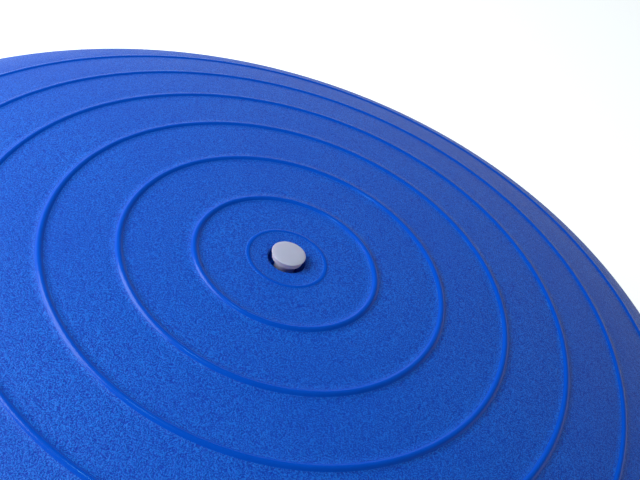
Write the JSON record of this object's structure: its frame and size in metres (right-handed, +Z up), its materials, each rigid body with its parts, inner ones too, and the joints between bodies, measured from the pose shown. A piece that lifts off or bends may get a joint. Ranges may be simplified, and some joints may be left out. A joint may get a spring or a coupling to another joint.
{
  "type": "balance dome trainer",
  "caption": "Flat round platform with a clamped air-filled ribbed dome, push-in air plug, hand grips, rubber feet and hinged D-rings for exercise bands.",
  "frame": {"origin": "on the floor, on the dome's axis, at the bottom of the rubber feet", "axes": "+Z up along the dome's axis through the air plug; the two band anchors are on +X and -X, the two hand grips on +Y and -Y"},
  "size_m": [0.58, 0.58, 0.2093],
  "materials": {
    "dome_pvc": "matt blue PVC with a fine sandy grain and smooth raised ribs",
    "plug": "white soft PVC, slightly glossy",
    "platform": "black moulded polypropylene, fine texture",
    "clamp": "dark grey moulded polypropylene, fine texture",
    "feet": "black rubber",
    "grips": "soft black elastomer",
    "fixings": "zinc-plated steel",
    "d_rings": "chromed steel wire"
  },
  "bodies": {
    "base": {"dome_bladder": "dome_pvc", "valve_seat": "dome_pvc", "base_platform": "platform", "clamp_ring": "clamp", "grip_cup_rear": "grips", "grip_cup_front": "grips", "anchor_clip_right": "fixings", "anchor_clip_left": "fixings", "clamp_screw_01": "fixings", "clamp_screw_02": "fixings", "clamp_screw_03": "fixings", "clamp_screw_04": "fixings", "clamp_screw_05": "fixings", "clamp_screw_06": "fixings", "clamp_screw_07": "fixings", "clamp_screw_08": "fixings", "clamp_screw_09": "fixings", "clamp_screw_10": "fixings", "clamp_screw_11": "fixings", "clamp_screw_12": "fixings", "anchor_screw_right_1": "fixings", "anchor_screw_right_2": "fixings", "anchor_screw_left_1": "fixings", "anchor_screw_left_2": "fixings", "foot_1": "feet", "foot_2": "feet", "foot_3": "feet", "foot_4": "feet", "foot_5": "feet", "foot_6": "feet", "foot_7": "feet", "foot_8": "feet"},
    "plug": {"valve_plug": "plug"},
    "right_ring": {"d_ring_right": "d_rings"},
    "left_ring": {"d_ring_left": "d_rings"}
  },
  "joints": [
    {"name": "plug_pull", "type": "slide", "parent": "base", "child": "plug", "axis": [0, 0, 1], "range_m": [0, 0.035]},
    {"name": "right_ring_swing", "type": "hinge", "parent": "base", "child": "right_ring", "pos_m": [0.28495, 0, 0.027], "axis": [0, -1, 0], "range_deg": [-4, 140]},
    {"name": "left_ring_swing", "type": "hinge", "parent": "base", "child": "left_ring", "pos_m": [-0.28495, 0, 0.027], "axis": [0, 1, 0], "range_deg": [-4, 140]}
  ]
}
